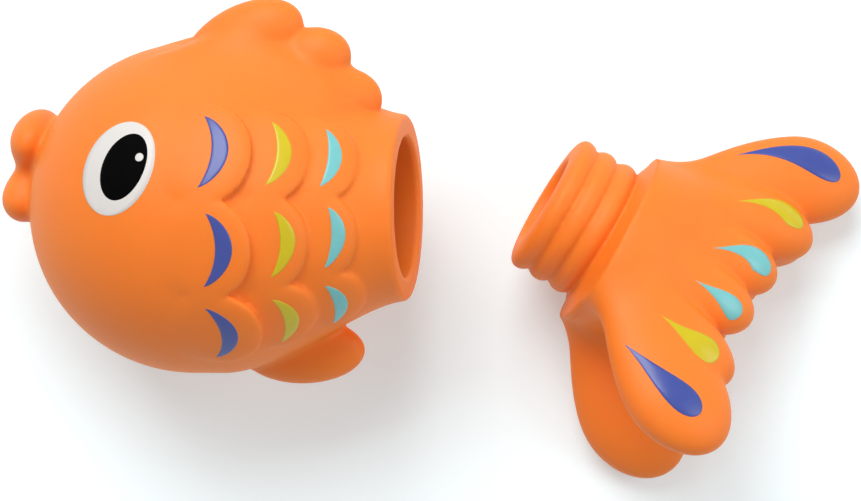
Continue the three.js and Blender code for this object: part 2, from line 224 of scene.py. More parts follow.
def fin_lobe(x, y, z, lobe, up):
    radius, _ = skin_at(lobe["x"])
    a, b = turned_back(x - lobe["x"], y - up * (radius + lobe["rise"]), lobe["lean"])
    return ellipsoid(a, b, z, lobe["half"])


def with_fins(skin, x, y, z):
    groove = between(FIN_ROOT_BLEND, FIN_TIP_BLEND, smooth_step(FIN_ROOT_HEIGHT, FIN_TIP_HEIGHT, skin))
    fins = fin_lobe(x, y, z, BACK_FIN_LOBES[0], 1)
    for lobe in BACK_FIN_LOBES[1:]:
        fins = soft_union(fins, fin_lobe(x, y, z, lobe, 1), groove)
    melt = smooth_step(0, FIN_FLANK, z) * (1 - smooth_step(FIN_CRISP_START, FIN_CRISP_END, x))
    skin = soft_union(skin, fins, between(FIN_EDGE_BLEND, FIN_FLANK_BLEND, melt))
    return soft_union(skin, fin_lobe(x, y, z, BELLY_FIN, -1), BELLY_FIN_BLEND)


print("lobes of the back fin:", len(BACK_FIN_LOBES))

# %% [markdown]
# ## Lips
#
# Two plump lips stand on the front of the head, and water squirts from a small hole between them. Each is
# an ellipsoid half sunk in the head. A wide blend between the two keeps their seam soft, and a narrow one
# draws the line where they meet the face.

# %% Lips of the fish
LIPS = (
    {"elevation": 24.9, "stand_off": 2, "half_height": 5.2, "half_width": 8.5},
    {"elevation": 4.1, "stand_off": 1.7, "half_height": 4.7, "half_width": 7.5},
)
LIP_HALF_DEPTH = 4.4
LIP_SEAM_BLEND = 7
LIP_BLEND = 1.6
SQUIRT_HOLE_RADIUS = 1.1


def lip(x, y, z, elevation, stand_off, half_height, half_width):
    a, b = turned_back(x, y, -elevation)
    return ellipsoid(a + HEAD_RADIUS + stand_off, b, z, (LIP_HALF_DEPTH, half_height, half_width))


def with_lips(skin, x, y, z):
    mouth = soft_union(lip(x, y, z, **LIPS[0]), lip(x, y, z, **LIPS[1]), LIP_SEAM_BLEND)
    return soft_union(skin, mouth, LIP_BLEND)


def squirt_hole(x, y, z):
    """Distance to a straight hole from the seam of the lips to the middle of the head."""
    elevation = (LIPS[0]["elevation"] + LIPS[1]["elevation"]) / 2
    along, across = turned_back(x, y, -elevation)
    return np.maximum(np.hypot(across, z) - SQUIRT_HOLE_RADIUS, along)


print(f"squirt hole {2 * SQUIRT_HOLE_RADIUS} mm across")

# %% [markdown]
# ## Scales
#
# Nine raised scales lie on each flank, in three columns and three rows. They could be sculpted or come
# from a displacement map, but here each one is a flat ellipsoid, tilted so that only its rear edge stands
# out of the skin. That gives the stepped look of overlapping scales in real geometry.

# %% Scales of the fish
SCALE_COLUMNS = (
    {"colour": "blue", "setback": 23.6, "row_pitch": 33.5, "half_length": 8.4},
    {"colour": "yellow", "setback": 14, "row_pitch": 35.7, "half_length": 7.6},
    {"colour": "aqua", "setback": 5.6, "row_pitch": 38.5, "half_length": 7},
)
SCALE_ROWS = {"upper": 1, "middle": 0, "lower": -1}
SCALE_SWELL = 2
SCALE_SINK = 1.25
SCALE_TILT = 11
SCALE_OVERLAP = 1.04
SCALE_FRONT_BLEND = 1.2
SCALE_EDGE_BLEND = 0.4


def scale_pad(x, y, z, column, row):
    """Distance to one scale, and the blend that seats it: softer in front than at its rear edge."""
    middle = NECK_REACH - column["setback"] - column["half_length"]
    radius, slope = skin_at(middle)
    half_row = radius * tan(radians(column["row_pitch"] / 2)) * SCALE_OVERLAP
    out, across = turned_back(z, y, row * column["row_pitch"])
    tilt = -slope - radians(SCALE_TILT)
    a = (x - middle) * cos(tilt) - (out - radius + SCALE_SINK) * sin(tilt)
    c = (x - middle) * sin(tilt) + (out - radius + SCALE_SINK) * cos(tilt)
    pad = ellipsoid(a, across, c, (column["half_length"], half_row, SCALE_SWELL))
    rear = smooth_step(-column["half_length"], column["half_length"] / 2, a)
    return pad, between(SCALE_FRONT_BLEND, SCALE_EDGE_BLEND, rear)


def with_scales(skin, x, y, z):
    for column, row in product(SCALE_COLUMNS, SCALE_ROWS.values()):
        skin = soft_union(skin, *scale_pad(x, y, z, column, row))
    return skin


print("scales on a flank:", len(SCALE_COLUMNS) * len(SCALE_ROWS))

# %% [markdown]
# ## The hollow
#
# The toy is hollow, so that it can be squeezed, and its neck is open for rinsing. The hollow follows the
# skin one wall inside it and ends in the bore that grips the tail's plug. A Solidify modifier could give
# the wall, but it would also follow every scale and fin. A real casting is smooth inside.

# %% Hollow of the fish
BODY_WALL = 3
NECK_BORE_RADIUS = 13.3
NECK_BORE_DEPTH = 15
RIM_BLEND = 0.8
HOLE_BLEND = 0.8

inner_stations = taper_spots[:, 0] + BODY_WALL * taper_along[:, 1]
inner_radii = taper_spots[:, 1] - BODY_WALL * taper_along[:, 0]


def fish_hollow(x, rho):
    """Distance to the space inside the fish, with the bore that grips the plug."""
    ball = np.hypot(x, rho) - HEAD_RADIUS + BODY_WALL
    cavity = np.where(x < 0, ball, revolved(x, rho, inner_stations, inner_radii))
    cavity = np.maximum(cavity, x - (NECK_REACH - NECK_BORE_DEPTH))
    bore = np.maximum(rho - NECK_BORE_RADIUS, -x)
    return soft_union(cavity, bore, RIM_BLEND)


def fish_field(points):
    """Distance to the hollow fish. Both flanks are alike, so z is taken from the middle plane."""
    x, y, z = points[:, 0], points[:, 1], np.abs(points[:, 2])
    rho = np.hypot(y, z)
    skin = with_fins(fish_skin(x, rho), x, y, z)
    skin = with_scales(with_lips(skin, x, y, z), x, y, z)
    return soft_cut(soft_cut(skin, fish_hollow(x, rho), RIM_BLEND), squirt_hole(x, y, z), HOLE_BLEND)


print(f"wall at the neck: {NECK_RADIUS - NECK_BORE_RADIUS:.1f} mm")

# %% [markdown]
# ## The tail's plug
#
# The plug is a short tube with three round beads, a little wider than the bore of the neck, so that the
# soft vinyl squeezes and holds. Behind them a shoulder meets the neck's rim. As on a lathe, it is all one
# radius along x. The beads are humps of a sine, flattened so that the grooves between them are narrow.

# %% Plug of the tail
PLUG_LENGTH = 13.4
PLUG_SLIP = 0.2
BEAD_SQUEEZE = 0.7
BEAD_COUNT = 3
GROOVE_DEPTH = 0.6
SHOULDER_SLOPE = 1.8
SHOULDER_EDGE = 1.2
SHOULDER_BLEND = 0.7
MOUTH_EDGE = 2.2
PROFILE_STEP = 0.05
PLUG_RADIUS = NECK_BORE_RADIUS - PLUG_SLIP
BEAD_RADIUS = NECK_BORE_RADIUS + BEAD_SQUEEZE
SHOULDER_RADIUS = NECK_RADIUS
MOUTH_X = -SHOULDER_SLOPE - PLUG_LENGTH


def plug_radii(stations):
    """The plug's radius along x: round beads, then the shoulder's cone."""
    pitch = PLUG_LENGTH / BEAD_COUNT
    swing = ((stations - MOUTH_X) / pitch) % 1
    bead = np.sqrt(np.sin(pi * swing))
    plug = between(PLUG_RADIUS - GROOVE_DEPTH, BEAD_RADIUS, bead)
    cone = np.interp(stations, (-SHOULDER_SLOPE, 0), (PLUG_RADIUS, SHOULDER_RADIUS))
    return np.where(stations < -SHOULDER_SLOPE, plug, cone)


plug_stations = np.arange(MOUTH_X, SHOULDER_EDGE, PROFILE_STEP)
plug_profile = plug_radii(plug_stations)


def tail_plug(x, rho):
    plug = revolved(x, rho, plug_stations, plug_profile)
    plug = soft_cut(plug, x - MOUTH_X, MOUTH_EDGE)
    return soft_cut(plug, SHOULDER_EDGE - x, SHOULDER_BLEND)


print(f"beads {2 * BEAD_RADIUS} mm across, for a bore of {2 * NECK_BORE_RADIUS} mm")

# %% [markdown]
# ## The fan
#
# Behind the shoulder the tail spreads into a fan: one top lobe in the middle plane, and below it two
# leaves of five lobes each, which lean apart. Every lobe is a long drop, narrow at the hub, widest past its
# middle and round at its tip, so one function makes them all from a tip, a bow and two half sizes.

# %% Lobes of the fan
TOP_LOBE = {"tip": (37.4, 35.9), "bow": 2.6, "widest": 0.73, "half_width": 8.8, "half_thickness": 5.5}
LEAF_LOBES = (
    {"tip": (34.4, 19.2), "bow": 2, "widest": 0.65, "half_width": 7, "half_thickness": 6},
    {"tip": (31.3, 6.8), "bow": 0.5, "widest": 0.62, "half_width": 6.5, "half_thickness": 5.6},
    {"tip": (30.4, -4.6), "bow": -0.8, "widest": 0.62, "half_width": 6.5, "half_thickness": 5.6},
    {"tip": (31.3, -18.9), "bow": -1.8, "widest": 0.65, "half_width": 6.5, "half_thickness": 5.6},
    {"tip": (33.7, -34.1), "bow": -1.6, "widest": 0.65, "half_width": 10.3, "half_thickness": 6},
)
FAN_ROOT_X = 4
FAN_ROOT_SPREAD = 12
LOBE_ROOT_SHARE = 0.66


def arch(share):
    """A parabola that is 0 at both ends and 1 in the middle."""
    return 4 * share * (1 - share)


def fan_lobe(x, y, z, tip, bow, widest, half_width, half_thickness):
    """Distance to a lobe: a tapered bar up to its widest place, and half an ellipsoid past it."""
    root_y = FAN_ROOT_SPREAD * tip[1] / hypot(*tip)
    length = hypot(tip[0] - FAN_ROOT_X, tip[1] - root_y)
    heading = atan2(tip[1] - root_y, tip[0] - FAN_ROOT_X)
    along = (x - FAN_ROOT_X) * cos(heading) + (y - root_y) * sin(heading)
    across = (y - root_y) * cos(heading) - (x - FAN_ROOT_X) * sin(heading)
    across = across - bow * arch(along / length)
    widest = widest * length
    width = half_width * between(LOBE_ROOT_SHARE, 1, smooth_step(0, widest, along))
    thick = width * half_thickness / half_width
    spans = (
        (np.maximum(along - widest, 0), length - widest),
        (np.minimum(along, 0), width),
        (across, width),
        (z, thick),
    )
    reach = np.sqrt(sum((offset / half) ** 2 for offset, half in spans))
    steep = np.sqrt(sum((offset / half**2) ** 2 for offset, half in spans))
    return reach * (reach - 1) / (steep + TINY)


print("lobes of a leaf:", len(LEAF_LOBES))

# %% [markdown]
# ## Leaves and hub
#
# The grooves between lobes are crisp at the tips and fade out towards the hub, as fingers run into a hand,
# so the blend width changes along the fan. The hub is a half ball behind the shoulder that the lobes melt
# into. A blind bore with a round end runs into it from the plug's mouth.

# %% Leaves, hub and bore of the tail
LEAF_LEAN = 17.7
LEAF_APEX = 28.2
LEAF_BLEND = 4
ROOT_BLEND = 4
ROOT_BLEND_END = 8
TIP_BLEND = 0.8
TIP_BLEND_START = 24
HUB_DEPTH = 16
HUB_DROP = 0.6
HUB_BLEND = 9
PLUG_WALL = 4.8
TAIL_BORE_DEPTH = 20
TAIL_BORE_RADIUS = PLUG_RADIUS - PLUG_WALL


def groove_blend(x):
    return between(ROOT_BLEND, TIP_BLEND, smooth_step(ROOT_BLEND_END, TIP_BLEND_START, x))


def tail_leaf(x, y, z, side):
    """One leaf of the fan, leaning out from the middle plane about the fan's top."""
    down, out = turned_back(y - LEAF_APEX, z, -side * LEAF_LEAN)
    leaf = fan_lobe(x, down + LEAF_APEX, out, **LEAF_LOBES[0])
    for lobe in LEAF_LOBES[1:]:
        leaf = soft_union(leaf, fan_lobe(x, down + LEAF_APEX, out, **lobe), groove_blend(x))
    return leaf


def tail_field(points):
    """Distance to the tail with its blind bore."""
    x, y, z = points[:, 0], points[:, 1], points[:, 2]
    rho = np.hypot(y, z)
    leaves = soft_union(tail_leaf(x, y, z, 1), tail_leaf(x, y, z, -1), LEAF_BLEND)
    fan = soft_union(leaves, fan_lobe(x, y, z, **TOP_LOBE), groove_blend(x))
    hub_radius = SHOULDER_RADIUS - HUB_DROP
    hub = ellipsoid(x - SHOULDER_EDGE, y, z, (HUB_DEPTH, hub_radius, hub_radius))
    fan = np.maximum(soft_union(fan, hub, HUB_BLEND), -x)
    tail = soft_union(fan, tail_plug(x, rho), SHOULDER_BLEND)
    bore_end = MOUTH_X + TAIL_BORE_DEPTH - TAIL_BORE_RADIUS
    bore = np.hypot(np.maximum(x - bore_end, 0), rho) - TAIL_BORE_RADIUS
    return soft_cut(tail, bore, MOUTH_EDGE)


print(f"bore of the plug: {2 * TAIL_BORE_RADIUS:.1f} mm across")

# %% [markdown]
# ## From a field to a mesh
#
# A net of quads is stretched over the place where the field changes sign, one point to each grid cell.
# The points are then evened out and slid along the field's slope until they lie on the surface itself,
# so that the mesh is as smooth as the formula. A voxel remesh would leave its steps in the grooves.

# %% Slide points onto a surface
CELL = 0.6
SLIDE_STEPS = 3
SLOPE_STEP = 0.02
LEAST_SLOPE_SQUARE = 0.25


def slope_of(field, points):
    """The field's value and gradient at points."""
    gradient = np.empty_like(points)
    for axis in range(3):
        step = np.zeros(3)
        step[axis] = SLOPE_STEP
        gradient[:, axis] = (field(points + step) - field(points - step)) / (2 * SLOPE_STEP)
    return field(points), gradient


def slide_on(field, points):
    """Points moved along the slope until they lie on the surface."""
    for _ in range(SLIDE_STEPS):
        value, gradient = slope_of(field, points)
        square = np.maximum(np.sum(gradient**2, axis=1), LEAST_SLOPE_SQUARE)
        move = np.clip(value / square, -CELL, CELL)
        points = points - move[:, None] * gradient
    return points


print(f"grid cells of {CELL} mm")


# %% Stretch a net over the surface
def sample(field, low, count):
    """The field on a grid, one slab at a time."""
    values = np.empty(count)
    y, z = (low[axis] + CELL * np.arange(count[axis]) for axis in (1, 2))
    slab = np.stack(np.meshgrid([0.0], y, z, indexing="ij"), axis=-1).reshape(-1, 3)
    for i in range(count[0]):
        slab[:, 0] = low[0] + CELL * i
        values[i] = field(slab).reshape(count[1:])
    return values


def net_points(values, cells, low):
    """One point in each cell, in the middle of where the surface crosses its edges."""
    total = np.zeros((len(cells), 3))
    hits = np.zeros(len(cells))
    for axis in range(3):
        for corner in product((0, 1), repeat=3):
            if corner[axis]:
                continue
            far = np.array(corner)
            far[axis] = 1
            near_value = values[tuple((cells + corner).T)]
            far_value = values[tuple((cells + far).T)]
            crossed = (near_value < 0) != (far_value < 0)
            spot = np.tile(np.array(corner, float), (len(cells), 1))
            spot[:, axis] = near_value / np.where(crossed, near_value - far_value, 1)
            total += np.where(crossed[:, None], spot, 0)
            hits += crossed
    return low + CELL * (cells + total / hits[:, None])


def net_faces(inside, index):
    """A quad round every grid edge that the surface crosses, facing outwards."""
    faces = []
    steps = np.eye(3, dtype=int)
    for axis in range(3):
        ahead, u, v = steps[axis], steps[(axis + 1) % 3], steps[(axis + 2) % 3]
        size = np.array(inside.shape) - ahead
        near = inside[: size[0], : size[1], : size[2]]
        far = inside[ahead[0] :, ahead[1] :, ahead[2] :]
        edges = np.argwhere(near != far)
        ring = [index[tuple((edges - step).T)] for step in (0 * u, u, u + v, v)]
        quads = np.stack(ring, axis=1)
        leaving = near[tuple(edges.T)]
        quads[~leaving] = quads[~leaving][:, ::-1]
        faces.append(quads)
    return np.concatenate(faces)


print("helpers for the net: sample, net_points, net_faces")

# %% Even the net out
MARGIN = 3
EVEN_ROUNDS = 3


def evened(points, faces):
    """Points drawn to the mean of their neighbours, so that the quads are regular."""
    total = np.zeros_like(points)
    hits = np.zeros(len(points))
    for a, b in ((0, 1), (1, 2), (2, 3), (3, 0)):
        for start, end in ((faces[:, a], faces[:, b]), (faces[:, b], faces[:, a])):
            for axis in range(3):
                total[:, axis] += np.bincount(start, points[end, axis], len(points))
            hits += np.bincount(start, minlength=len(points))
    return total / hits[:, None]


def mesh_of(field, low, high):
    """The points and quads of a field's surface."""
    low = np.array(low, float) - MARGIN
    count = tuple(np.ceil((np.array(high) + MARGIN - low) / CELL).astype(int) + 1)
    values = sample(field, low, count)
    inside = values < 0
    corners = [
        inside[a : a + count[0] - 1, b : b + count[1] - 1, c : c + count[2] - 1]
        for a, b, c in product((0, 1), repeat=3)
    ]
    filled = sum(corner.astype(np.int8) for corner in corners)
    cells = np.argwhere((filled > 0) & (filled < len(corners)))
    index = np.full(filled.shape, -1)
    index[tuple(cells.T)] = np.arange(len(cells))
    faces = net_faces(inside, index)
    points = slide_on(field, net_points(values, cells, low))
    for _ in range(EVEN_ROUNDS):
        points = slide_on(field, evened(points, faces))
    return points, faces


print("rounds of evening out:", EVEN_ROUNDS)

# %% [markdown]
# ## Materials
#
# Both finishes of the toy are satin coats with a faint cloud of colour and a fine grain. The cloud and the
# grain are noise in the toy's own space, so they need no unwrapping and stay put when a piece moves.


# %% Material helpers
def linear(colour):
    """An sRGB hex colour as the linear values that shaders take."""
    channels = [int(colour[i : i + 2], 16) / 255 for i in (1, 3, 5)]
    return [c / 12.92 if c <= 0.04045 else ((c + 0.055) / 1.055) ** 2.4 for c in channels] + [1]


def add_node(tree, kind, inputs=None, **settings):
    """Add a shader node. An input is a plain value, or the output socket that feeds it."""
    node = tree.nodes.new(kind)
    for key, value in settings.items():
        setattr(node, key, value)
    for key, value in (inputs or {}).items():
        if isinstance(value, bpy.types.NodeSocket):
            tree.links.new(value, node.inputs[key])
        else:
            node.inputs[key].default_value = value
    return node


def new_material(name):
    material = bpy.data.materials.new(name)
    material.use_nodes = True
    material.node_tree.nodes.clear()
    return material, material.node_tree


def per_mm(size):
    """The texture scale whose features are about this many millimetres apart."""
    return 1 / (size * MM)


print("mid grey in linear light:", round(linear("#808080")[0], 3))

# %% Cloud and grain
# The colour mix has its pair of colours on inputs 6 and 7, and its result on output 2
MIX_FROM = 6
MIX_TO = 7
MIX_COLOUR = 2
GRAIN_DETAIL = 2


def cloud_and_grain(tree, light, deep, cloud_mm, cloud_detail, grain_mm, grain_strength, grain_depth):
    """A cloud of noise, the colour that it tints, and the bumps of a fine grain."""
    spot = add_node(tree, "ShaderNodeTexCoord").outputs["Object"]
    noise = {"Vector": spot, "Scale": per_mm(cloud_mm), "Detail": cloud_detail}
    cloud = add_node(tree, "ShaderNodeTexNoise", noise).outputs["Fac"]
    pair = {"Factor": cloud, MIX_FROM: linear(deep), MIX_TO: linear(light)}
    tint = add_node(tree, "ShaderNodeMix", pair, data_type="RGBA")
    noise = {"Vector": spot, "Scale": per_mm(grain_mm), "Detail": GRAIN_DETAIL}
    grain = add_node(tree, "ShaderNodeTexNoise", noise).outputs["Fac"]
    relief = {"Height": grain, "Strength": grain_strength, "Distance": grain_depth * MM}
    bump = add_node(tree, "ShaderNodeBump", relief)
    return cloud, tint.outputs[MIX_COLOUR], bump.outputs["Normal"]


print(f"a feature of 1 mm is a noise scale of {per_mm(1):.0f}")

# %% [markdown]
# ## Soft vinyl
#
# The mouldings are plasticised PVC, cast against a satin mould. To the eye it is a strong, warm orange
# with broad soft highlights. A little light gets into it and comes out warmer in the creases, which
# a plain diffuse shader would miss, so some of it goes through subsurface scattering.

# %% Soft orange vinyl
VINYL_LIGHT = "#ff8526"
VINYL_DEEP = "#fb7e20"
VINYL_CLOUD_MM = 9
VINYL_CLOUD_DETAIL = 3
# The mould's real grain is too fine to show in the render, so it is drawn coarser
VINYL_GRAIN_MM = 0.5
VINYL_GRAIN_STRENGTH = 0.12
VINYL_GRAIN_DEPTH = 0.05
VINYL_ROUGHNESS = (0.5, 0.6)
VINYL_IOR = 1.5
VINYL_SPECULAR = 0.4
VINYL_GLOW_SHARE = 0.3
VINYL_GLOW_REACH = 2.5
# Red light travels furthest in orange vinyl, and blue the least
VINYL_GLOW_COLOURS = (1, 0.3, 0.1)

vinyl, tree = new_material("soft_orange_vinyl")
cloud, tint, bumps = cloud_and_grain(
    tree,
    VINYL_LIGHT,
    VINYL_DEEP,
    VINYL_CLOUD_MM,
    VINYL_CLOUD_DETAIL,
    VINYL_GRAIN_MM,
    VINYL_GRAIN_STRENGTH,
    VINYL_GRAIN_DEPTH,
)
low, high = VINYL_ROUGHNESS
gloss = add_node(tree, "ShaderNodeMapRange", {"Value": cloud, "To Min": low, "To Max": high})
skin = add_node(
    tree,
    "ShaderNodeBsdfPrincipled",
    {
        "Base Color": tint,
        "Roughness": gloss.outputs["Result"],
        "Normal": bumps,
        "Subsurface Weight": VINYL_GLOW_SHARE,
        "Subsurface Radius": VINYL_GLOW_COLOURS,
        "Subsurface Scale": VINYL_GLOW_REACH * MM,
        "IOR": VINYL_IOR,
        "Specular IOR Level": VINYL_SPECULAR,
    },
)
add_node(tree, "ShaderNodeOutputMaterial", {"Surface": skin.outputs["BSDF"]})
print("made", vinyl.name)

# %% [markdown]
# ## Satin paint
#
# The marks are a flexible vinyl paint, sprayed through a mask. It dries smoother than the cast vinyl, so
# it catches a tighter highlight, with the faint cloud and orange peel of a sprayed coat. The black of the
# pupil is nearly matt. Each colour is one call of the same recipe.

# %% Satin paints
PAINT_CLOUD_MM = 2.5
PAINT_CLOUD_DETAIL = 4
# The coat's real peel is too fine to show in the render, so it is drawn coarser
PAINT_PEEL_MM = 0.6
PAINT_PEEL_STRENGTH = 0.1
PAINT_PEEL_DEPTH = 0.04


def satin_paint(name, light, deep, roughness, shine):
    material, tree = new_material(name)
    _, tint, bumps = cloud_and_grain(
        tree,
        light,
        deep,
        PAINT_CLOUD_MM,
        PAINT_CLOUD_DETAIL,
        PAINT_PEEL_MM,
        PAINT_PEEL_STRENGTH,
        PAINT_PEEL_DEPTH,
    )
    finish = {"Base Color": tint, "Roughness": roughness, "Normal": bumps, "Specular IOR Level": shine}
    coat = add_node(tree, "ShaderNodeBsdfPrincipled", finish)
    add_node(tree, "ShaderNodeOutputMaterial", {"Surface": coat.outputs["BSDF"]})
    return material


PAINTS = {
    "white": satin_paint("satin_white_paint", "#e0dbd7", "#dad5d1", roughness=0.4, shine=0.3),
    "black": satin_paint("satin_black_paint", "#050505", "#020202", roughness=0.6, shine=0.02),
    "blue": satin_paint("satin_blue_paint", "#3a4b9e", "#334493", roughness=0.28, shine=0.5),
    "yellow": satin_paint("satin_yellow_paint", "#d3bf06", "#c9b503", roughness=0.3, shine=0.45),
    "aqua": satin_paint("satin_aqua_paint", "#79c6c8", "#6dbbbe", roughness=0.3, shine=0.5),
}
print("paints:", ", ".join(PAINTS))

# %% [markdown]
# ## Casting
#
# Each moulding is now meshed inside a box that holds it, and put into the scene in place of its plain CAD
# solid. It rides on the same body as that solid, so it moves with the joint.

# %% Cast both mouldings
FISH = (fish_field, FISH_PLACE, "fish_body")
FISH_BOX = ((-42, -40, -36), (42, 48, 36))
TAIL = (tail_field, TAIL_PLACE, "tail")
TAIL_BOX = ((-15, -46, -30), (46, 48, 30))


def add_piece(name, points, faces, placing, material, body, node):
    """A smooth-shaded object in the scene, which stands for one CAD node."""
    world = points @ placing[:3, :3].T + placing[:3, 3]
    mesh = bpy.data.meshes.new(name)
    mesh.from_pydata(world.tolist(), [], faces.tolist())
    mesh.polygons.foreach_set("use_smooth", np.ones(len(mesh.polygons), bool))
    mesh.materials.append(material)
    mesh.update()
    piece = bpy.data.objects.new(name, mesh)
    bpy.context.scene.collection.objects.link(piece)
    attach(piece, body)
    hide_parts(node)


def cast(name, moulding, box, node):
    field, placing, body = moulding
    points, faces = mesh_of(field, *box)
    add_piece(name, points, faces, placing, vinyl, body, node)
    print(f"{name}: {len(faces)} quads")


cast("fish_body", FISH, FISH_BOX, "body_shell")
cast("tail_plug", TAIL, TAIL_BOX, "tail_shell")

# %% [markdown]
# ## Paint films
#
# Each mark is a thin film that follows the vinyl under it. Its outline is drawn flat, then every point is
# dropped onto the surface, which keeps the film seated on a scale's swell. A Shrinkwrap modifier does
# much the same, but the field gives the exact place. The edge is feathered down, as a sprayed edge is.

# %% Drop a film onto the vinyl
FAR = 60
TRACE_STEPS = 40
FILM_RISE = 0.09
FILM_SINK = 0.12
FEATHER_START = 0.7
MARK_STATIONS = 41
MARK_ACROSS = 13


def dropped(field, start, inward):
    """Where rays meet the surface, by stepping the field's own distance each time."""
    spots = start.copy()
    for _ in range(TRACE_STEPS):
        spots += field(spots)[:, None] * inward
    return spots


def film(field, outline, layer):
    """Points and quads of a closed film. The outline gives a ray for each place on the mark."""
    u, w = np.meshgrid(np.linspace(0, 1, MARK_STATIONS), np.linspace(-1, 1, MARK_ACROSS), indexing="ij")
    start, inward = outline(u.ravel(), w.ravel())
    spots = dropped(field, start, inward)
    edge = np.maximum(np.abs(w), np.abs(2 * u - 1)).ravel()
    rise = FILM_RISE * (layer + 1 - smooth_step(FEATHER_START, 1, edge))
    points = np.concatenate((spots - rise[:, None] * inward, spots + FILM_SINK * inward))
    size = MARK_STATIONS * MARK_ACROSS
    grid = np.arange(size).reshape(MARK_STATIONS, MARK_ACROSS)
    quads = np.stack((grid[:-1, :-1], grid[1:, :-1], grid[1:, 1:], grid[:-1, 1:]), axis=-1).reshape(-1, 4)
    ring = np.concatenate((grid[:-1, 0], grid[-1, :-1], grid[:0:-1, -1], grid[0, :0:-1]))
    after = np.roll(ring, -1)
    wall = np.stack((ring, ring + size, after + size, after), axis=1)
    return points, np.concatenate((quads, quads[:, ::-1] + size, wall))


print(f"films stand {FILM_RISE} mm proud")

# %% Paint both sides
SIDES = {"left": 1, "right": -1}


def paint(mark, outline, colour, moulding, layer=0):
    """The same film on both sides of a moulding, mirrored, each in place of its CAD node."""
    field, placing, body = moulding
    points, faces = film(field, outline, layer)
    for side_name, side in SIDES.items():
        node = f"{mark}_{side_name}"
        quads = faces if side > 0 else faces[:, ::-1]
        add_piece(
            f"painted_{node}",
            points * (1, 1, side),
            quads,
            placing,
            PAINTS[colour],
            body,
            node,
        )


print("sides to paint:", ", ".join(SIDES))

# %% [markdown]
# ## Eyes
#
# Each eye is three ovals of paint, one on the other: the white, the pupil and a small glint. They are drawn
# on a flat card that faces the cheek, and dropped onto the head from there.

# %% Paint the eyes
EYE_FORWARD = 14.5
EYE_ELEVATION = 27
EYE_LEAN = 15
EYE_OVALS = {
    "eye_white": {"colour": "white", "ahead": 0.7, "above": 0.4, "half_width": 7.1, "half_height": 9.05},
    "pupil": {"colour": "black", "ahead": -0.6, "above": 0.6, "half_width": 4.3, "half_height": 6.5},
    "eye_glint": {"colour": "white", "ahead": -3.6, "above": 2.5, "half_width": 0.8, "half_height": 0.8},
}
eye_card = np.array(
    Matrix.Rotation(-radians(EYE_FORWARD), 3, "Y") @ Matrix.Rotation(-radians(EYE_ELEVATION), 3, "X")
)


def eye_outline(oval):
    def outline(u, w):
        swing = pi * (u - 0.5)
        across = w * oval["half_width"] * np.cos(swing)
        high = oval["half_height"] * np.sin(swing)
        a, b = turned_back(across, high, EYE_LEAN)
        card = np.stack((a - oval["ahead"], b + oval["above"], np.full_like(a, FAR)), axis=1)
        start = card @ eye_card.T
        return start, np.broadcast_to(-eye_card[:, 2], start.shape)

    return outline


for layer, (name, oval) in enumerate(EYE_OVALS.items()):
    paint(name, eye_outline(oval), oval["colour"], FISH, layer)
print("ovals in an eye:", len(EYE_OVALS))

# %% [markdown]
# ## Crescents
#
# A crescent is painted on each scale, with its tips towards the head. It is drawn round the fish's axis, as
# a mask wrapped round the flank would be. The three rows don't sit quite alike on the toy, and the shifts
# and skews follow that.

# %% Paint the crescents
CRESCENTS = {
    "blue": {"tip_setback": 32.3, "bulge": 5.2, "hollow": 2.1, "half_angle": 12.5},
    "yellow": {"tip_setback": 20.6, "bulge": 4.1, "hollow": 1.5, "half_angle": 12.9},
    "aqua": {"tip_setback": 11.5, "bulge": 3.4, "hollow": 1, "half_angle": 14.4},
}
CRESCENT_ROW_SHIFT = {1: -0.5, 0: 0.3, -1: -0.8}
CRESCENT_ROW_SKEW = {1: 0.1, 0: 0.6, -1: 0.2}
CRESCENT_OUTER = 0.7
CRESCENT_INNER = 0.95


def crescent_outline(column, row):
    mark = CRESCENTS[column["colour"]]
    tip = NECK_REACH - mark["tip_setback"] + CRESCENT_ROW_SHIFT[row]

    def outline(u, w):
        high = np.sin(pi * (u - 0.5))
        room = 1 - high**2
        inner = mark["hollow"] * room**CRESCENT_INNER
        outer = mark["bulge"] * room**CRESCENT_OUTER
        turn = np.radians(row * column["row_pitch"] + high * mark["half_angle"])
        outward = np.stack((0 * turn, np.sin(turn), np.cos(turn)), axis=1)
        start = FAR * outward
        start[:, 0] = tip + CRESCENT_ROW_SKEW[row] * high + between(inner, outer, (w + 1) / 2)
        return start, -outward

    return outline


for column, (row_name, row) in product(SCALE_COLUMNS, SCALE_ROWS.items()):
    colour = column["colour"]
    paint(f"{colour}_crescent_{row_name}", crescent_outline(column, row), colour, FISH)
print("crescents on a flank:", len(SCALE_COLUMNS) * len(SCALE_ROWS))

# %% [markdown]
# ## Drops
#
# A painted drop runs along the top lobe and each lobe below it, pointed at the hub and round towards the
# tip. Each follows a bent line through three places on the leaf, and swells along it to its widest place.

# %% Paint the drops
DROPS = {
    "blue_drop_top": {"path": ((12.9, 25.5), (23, 30.9), (33.1, 31)), "half_width": 2.7},
    "yellow_drop_upper": {"path": ((16.7, 14.4), (24.9, 18.4), (30.2, 16.9)), "half_width": 2.5},
    "aqua_drop_upper": {"path": ((16.5, 2.2), (23.8, 5.8), (28.2, 4.1)), "half_width": 2.4},
    "aqua_drop_lower": {"path": ((16.1, -6.1), (22.9, -6.1), (27.2, -6.9)), "half_width": 2},
    "yellow_drop_lower": {"path": ((13, -16.6), (21, -17.7), (26.7, -17.7)), "half_width": 2.5},
    "blue_drop_bottom": {"path": ((9, -24.6), (19.6, -29), (28.1, -30.4)), "half_width": 2.7},
}
DROP_WIDEST = 0.74
DROP_POINT = 1.45
leaf_card = np.array(Matrix.Rotation(-radians(LEAF_LEAN), 3, "X"))


